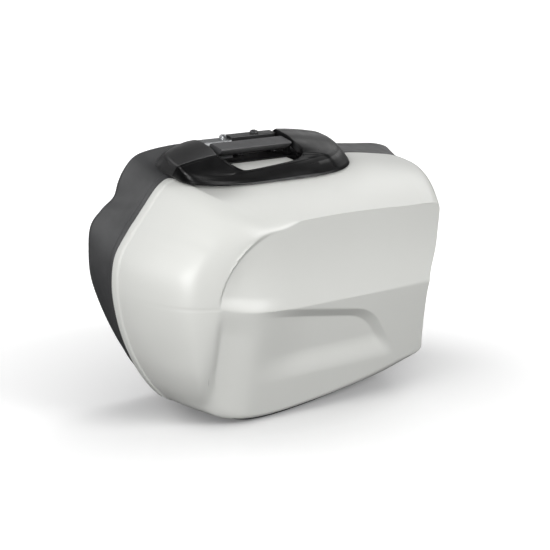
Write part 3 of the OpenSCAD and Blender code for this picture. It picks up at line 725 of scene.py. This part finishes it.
def pebbles(tree, place, scale):
    """Rounded cells, as in a moulded leather grain."""
    node = tree.nodes.new("ShaderNodeTexVoronoi")
    node.feature = "SMOOTH_F1"
    node.inputs["Scale"].default_value = scale
    tree.links.new(place, node.inputs["Vector"])
    return node.outputs["Distance"]


def spread(tree, value, low, high, start=0.0, stop=1.0):
    """A value between start and stop turned into one between low and high."""
    node = tree.nodes.new("ShaderNodeMapRange")
    for key, number in (("From Min", start), ("From Max", stop), ("To Min", low), ("To Max", high)):
        node.inputs[key].default_value = number
    tree.links.new(value, node.inputs["Value"])
    return node.outputs["Result"]


def tint(tree, bsdf, value, dark, light):
    """Base colour between two colours by a value."""
    node = tree.nodes.new("ShaderNodeMix")
    node.data_type = "RGBA"
    # a mix node keeps its colour sockets after those of numbers and vectors
    node.inputs[6].default_value = (*dark, 1)
    node.inputs[7].default_value = (*light, 1)
    tree.links.new(value, node.inputs[0])
    tree.links.new(node.outputs[2], bsdf.inputs["Base Color"])


def relief(tree, bsdf, heights):
    """Stacked bumps: (height, strength, distance in metres) from coarse to fine."""
    normal = None
    for height, strength, distance in heights:
        node = tree.nodes.new("ShaderNodeBump")
        node.inputs["Strength"].default_value = strength
        node.inputs["Distance"].default_value = distance
        tree.links.new(height, node.inputs["Height"])
        if normal:
            tree.links.new(normal, node.inputs["Normal"])
        normal = node.outputs["Normal"]
    tree.links.new(normal, bsdf.inputs["Normal"])


def uneven_sheen(tree, bsdf, cloud, low, high):
    """Roughness that drifts from low to high with a cloud of noise."""
    tree.links.new(spread(tree, cloud, low, high, 0.3, 0.7), bsdf.inputs["Roughness"])


def wear(tree, start, stop):
    """1 on worn convex edges, 0 on flats and hollows."""
    shape = tree.nodes.new("ShaderNodeNewGeometry")
    return spread(tree, shape.outputs["Pointiness"], 0.0, 1.0, start, stop)


def shades(color, low, high):
    return tuple(c * low for c in color), tuple(c * high for c in color)


def lacquer(name, color):
    """Satin lacquer: faint drift in its tone, orange peel and fine haze."""
    mat, tree, bsdf = principled(name, color, 0.42, Coat_Weight=0.22, Coat_Roughness=0.28)
    place = object_place(tree)
    tint(tree, bsdf, noise(tree, place, 9.0, 4.0), *shades(color, 0.985, 1.012))
    uneven_sheen(tree, bsdf, noise(tree, place, 35.0, 5.0), 0.37, 0.47)
    orange_peel, haze = noise(tree, place, 240.0, 2.0), noise(tree, place, 2600.0, 1.0)
    relief(tree, bsdf, [(orange_peel, 0.06, 0.0003), (haze, 0.05, 0.00005)])
    return mat


def moulded(name, color, rough, grain=1500.0, depth=0.16, scuff=1.5, sheen=0.5):
    """Moulded plastic: pebbled grain, uneven sheen and paler worn edges."""
    mat, tree, bsdf = principled(name, color, rough, Specular_IOR_Level=sheen)
    place = object_place(tree)
    cloud = noise(tree, place, 22.0, 4.0)
    add = tree.nodes.new("ShaderNodeMath")
    add.operation = "ADD"
    tree.links.new(spread(tree, cloud, 0.0, 0.45, 0.3, 0.7), add.inputs[0])
    tree.links.new(wear(tree, 0.54, 0.66), add.inputs[1])
    tint(tree, bsdf, add.outputs[0], *shades(color, 0.9, scuff))
    uneven_sheen(tree, bsdf, noise(tree, place, 60.0, 5.0), rough - 0.05, rough + 0.06)
    cells, pores = pebbles(tree, place, grain), noise(tree, place, grain * 2.5, 2.0)
    relief(tree, bsdf, [(cells, depth, 0.0002), (pores, depth * 0.6, 0.0001)])
    return mat


def rubber(name, color):
    """Matt rubber with dust in its pores."""
    mat, tree, bsdf = principled(name, color, 0.78)
    place = object_place(tree)
    dust = spread(tree, noise(tree, place, 70.0, 6.0), 0.0, 1.0, 0.35, 0.75)
    tint(tree, bsdf, dust, *shades(color, 0.85, 1.9))
    relief(tree, bsdf, [(noise(tree, place, 900.0, 5.0), 0.3, 0.0003)])
    return mat


def webbing(name, color):
    """Woven band: ribs of yarn across a fine herringbone, with lighter crests."""
    mat, tree, bsdf = principled(name, color, 0.82, Sheen_Weight=0.25, Sheen_Roughness=0.45)
    waves = []
    for turn in (math.radians(45), math.radians(-45)):
        coord = tree.nodes.new("ShaderNodeTexCoord")
        mapping = tree.nodes.new("ShaderNodeMapping")
        mapping.inputs["Rotation"].default_value = (0.0, turn, 0.0)
        tree.links.new(coord.outputs["Object"], mapping.inputs["Vector"])
        wave = tree.nodes.new("ShaderNodeTexWave")
        wave.inputs["Scale"].default_value = 260.0
        wave.inputs["Distortion"].default_value = 0.4
        wave.inputs["Detail"].default_value = 1.0
        tree.links.new(mapping.outputs["Vector"], wave.inputs["Vector"])
        waves.append(wave.outputs["Fac"])
    cross = tree.nodes.new("ShaderNodeMath")
    cross.operation = "MULTIPLY"
    tree.links.new(waves[0], cross.inputs[0])
    tree.links.new(waves[1], cross.inputs[1])
    tint(tree, bsdf, cross.outputs[0], *shades(color, 0.6, 2.2))
    fuzz = noise(tree, object_place(tree), 2500.0, 3.0)
    relief(tree, bsdf, [(cross.outputs[0], 0.6, 0.0004), (fuzz, 0.25, 0.0001)])
    return mat


def metal(name, color, rough, stretch=(1, 1, 1), scale=300.0, depth=0.08):
    """Metal with fine scratches; the stretch makes them run one way."""
    mat, tree, bsdf = principled(name, color, rough, Metallic=1.0)
    place = object_place(tree, stretch)
    tint(tree, bsdf, noise(tree, place, scale * 0.1, 4.0), *shades(color, 0.8, 1.08))
    uneven_sheen(tree, bsdf, noise(tree, place, scale, 5.0), rough - 0.08, rough + 0.14)
    relief(tree, bsdf, [(noise(tree, place, scale * 2, 4.0), depth, 0.0001)])
    return mat


PAINT = (0.61, 0.615, 0.59)
FINISHES = {
    "painted_shell": lacquer("painted_shell", PAINT),
    "black_shell": moulded("black_shell", (0.045, 0.0455, 0.047), 0.5),
    "bezel_plastic": moulded("bezel_plastic", (0.004, 0.004, 0.0042), 0.32, 2200.0, 0.08, 1.3, 0.2),
    "cover_plastic": moulded("cover_plastic", (0.024, 0.024, 0.0245), 0.4, 2200.0, 0.1, 1.3),
    "grip_plastic": moulded("grip_plastic", (0.05, 0.05, 0.052), 0.45, 1700.0, 0.14),
    "lever_plastic": moulded("lever_plastic", (0.012, 0.012, 0.0125), 0.38, 2400.0, 0.06),
    "knob_plastic": moulded("knob_plastic", (0.03, 0.03, 0.031), 0.35, 2400.0, 0.06),
    "black_nylon": moulded("black_nylon", (0.004, 0.004, 0.0042), 0.55, 1300.0, 0.2, 1.5, 0.2),
    "frame_plastic": moulded("frame_plastic", (0.04, 0.041, 0.042), 0.55, 1300.0, 0.2),
    "buckle_plastic": moulded("buckle_plastic", (0.02, 0.02, 0.021), 0.3, 2400.0, 0.05),
    "seal_rubber": rubber("seal_rubber", (0.02, 0.02, 0.02)),
    "socket_rubber": rubber("socket_rubber", (0.022, 0.022, 0.023)),
    "foot_rubber": rubber("foot_rubber", (0.018, 0.018, 0.018)),
    "webbing": webbing("webbing", (0.025, 0.026, 0.028)),
    "steel": metal("steel", (0.62, 0.63, 0.64), 0.26, (0.1, 1, 1)),
    "dark_screw": metal("dark_screw", (0.12, 0.12, 0.125), 0.4),
    "zinc": metal("zinc", (0.36, 0.37, 0.38), 0.46, (1, 1, 1), 500.0, 0.25),
    "lock_metal": metal("lock_metal", (0.26, 0.265, 0.27), 0.5, (0.06, 1, 1), 600.0, 0.1),
    "cylinder_metal": metal("cylinder_metal", (0.42, 0.43, 0.44), 0.38, (1, 1, 0.1), 500.0, 0.05),
}
# bare moulding inside the painted shell, which carries no lacquer
LINING = moulded("shell_lining", (0.03, 0.0305, 0.032), 0.65, 1200.0, 0.22, 1.5, 0.2)


def set_material(piece, *mats):
    piece.data.materials.clear()
    for mat in mats:
        piece.data.materials.append(mat)


def finish_cad_nodes():
    """Eased edges and a real finish for every CAD node that stays in view."""
    slots = {s["node"]: s["material_slot"] for s in frame["record"]["subparts"]}
    for name, node in NODES.items():
        set_material(node, FINISHES[slots[name]])
        if node.hide_render or name in ROUND_NODES:
            continue
        weld = node.modifiers.new("weld", "WELD")
        weld.merge_threshold = 0.00001
        soften(node, EDGE.get(name, 0.4), 2)


def line_inside(shell):
    """Give the second material to the faces of the shell's inner skin."""
    polygons = shell.data.polygons
    first = np.array([p.vertices[0] for p in polygons])
    last = np.array([p.vertices[2] for p in polygons])
    inside = (first >= INSIDE_FROM) & (last >= INSIDE_FROM)
    polygons.foreach_set("material_index", inside.astype(np.int32))


# nodes that are round already and get no bevel
ROUND_NODES = ("lever_spring", "rim_seal")
# edge radius in mm, where it isn't 0.4
EDGE = {
    "carry_handle": 1.0, "lock_housing": 0.8, "open_lever": 0.6, "inner_feet": 0.8,
    "outer_foot": 0.8, "hook_block": 0.7, "carrier_sockets": 0.5, "slot_panel": 0.2,
    "frame_screws": 0.2, "socket_screws": 0.2, "chassis_screws": 0.2, "hinge_screws": 0.2,
}
finish_cad_nodes()
set_material(outer, FINISHES["painted_shell"], LINING)
line_inside(outer)
for piece, slot in MADE:
    if piece is not outer:
        set_material(piece, FINISHES[slot])

# ---------------------------------------------------------------- studio


def direction(azimuth, elevation):
    """Unit vector towards a point of the sky, in degrees from the front of the case."""
    a, e = math.radians(azimuth), math.radians(elevation)
    return (math.sin(a) * math.cos(e), -math.cos(a) * math.cos(e), math.sin(e))


def sun(name, azimuth, elevation, angle, power):
    """Soft distant light from a direction."""
    data = bpy.data.lights.new(name, "SUN")
    data.angle = math.radians(angle)
    data.energy = power
    lamp = bpy.data.objects.new(name, data)
    bpy.context.scene.collection.objects.link(lamp)
    lamp.rotation_euler = Vector(direction(azimuth, elevation)).to_track_quat("Z", "Y").to_euler()


def calc(tree, operation, a, b):
    """A math node; either side may be a number or another node's output."""
    node = tree.nodes.new("ShaderNodeMath")
    node.operation = operation
    for value, socket in ((a, node.inputs[0]), (b, node.inputs[1])):
        if isinstance(value, float):
            socket.default_value = value
        else:
            tree.links.new(value, socket)
    return node.outputs[0]


def soft_sky(lobes):
    """Sky made of soft bright patches: azimuth, elevation, sharpness and strength of each."""
    world = bpy.data.worlds.new("studio")
    bpy.context.scene.world = world
    world.use_nodes = True
    tree = world.node_tree
    coord = tree.nodes.new("ShaderNodeTexCoord")
    split = tree.nodes.new("ShaderNodeSeparateXYZ")
    tree.links.new(coord.outputs["Generated"], split.inputs[0])
    total = None
    for azimuth, elevation, sharpness, strength in lobes:
        dot = tree.nodes.new("ShaderNodeVectorMath")
        dot.operation = "DOT_PRODUCT"
        dot.inputs[1].default_value = direction(azimuth, elevation)
        tree.links.new(coord.outputs["Generated"], dot.inputs[0])
        patch = calc(tree, "POWER", calc(tree, "MAXIMUM", dot.outputs["Value"], 0.0), sharpness)
        patch = calc(tree, "MULTIPLY", patch, strength)
        total = calc(tree, "ADD", total, patch) if total else patch
    above = calc(tree, "GREATER_THAN", split.outputs["Z"], 0.0)
    sky = tree.nodes["Background"]
    sky.inputs["Color"].default_value = (1, 1, 1, 1)
    tree.links.new(calc(tree, "MULTIPLY", total, above), sky.inputs["Strength"])


def studio():
    bpy.ops.mesh.primitive_plane_add(size=60, location=(0, 0, 0))
    floor = bpy.context.object
    floor.name = "studio_floor"
    mat, tree, bsdf = principled("studio_floor", (0.9, 0.9, 0.9), 0.9, Specular_IOR_Level=0.0)
    bsdf.inputs["Emission Color"].default_value = (1, 1, 1, 1)
    # the floor is lit evenly and glows white; a painted contact shadow, from ambient occlusion, dims that
    # glow close round the case
    near = tree.nodes.new("ShaderNodeAmbientOcclusion")
    near.inputs["Distance"].default_value = 0.5
    glow_with_painted_shadow = calc(tree, "MULTIPLY", calc(tree, "POWER", near.outputs["AO"], 3.5), FLOOR_GLOW)
    tree.links.new(glow_with_painted_shadow, bsdf.inputs["Emission Strength"])
    set_material(floor, mat)
    floor.visible_diffuse = False
    floor.visible_glossy = False
    soft_sky(SKY)
    for i, (azimuth, elevation, angle, power) in enumerate(SUNS):
        sun("sun_%d" % i, azimuth, elevation, angle, power)


# azimuth, elevation, sharpness, strength
SKY = [(140, 8, 16.0, 1.0), (-88, 10, 3.5, 2.35), (105, 42, 26.0, 3.4), (-150, 38, 30.0, 2.2)]
# azimuth, elevation, angle, power
SUNS = [(-44, 9, 30, 2.4), (30, 26, 30, 1.75)]
# strength of the floor's glow, before the painted contact shadow dims it near the case
FLOOR_GLOW = 0.5
studio()

AZIMUTH, ELEVATION, DISTANCE = -36, 14.5, 2.052
TARGET = Vector((-0.0475, -0.026, 0.200))
camera = bpy.data.objects.new("camera", bpy.data.cameras.new("camera"))
bpy.context.scene.collection.objects.link(camera)
camera.location = TARGET + DISTANCE * Vector(direction(AZIMUTH, ELEVATION))
camera.rotation_euler = (TARGET - camera.location).to_track_quat("-Z", "Y").to_euler()
camera.data.lens = 90
camera.data.sensor_width = 36
bpy.context.scene.camera = camera
bpy.context.scene.view_settings.view_transform = "Standard"
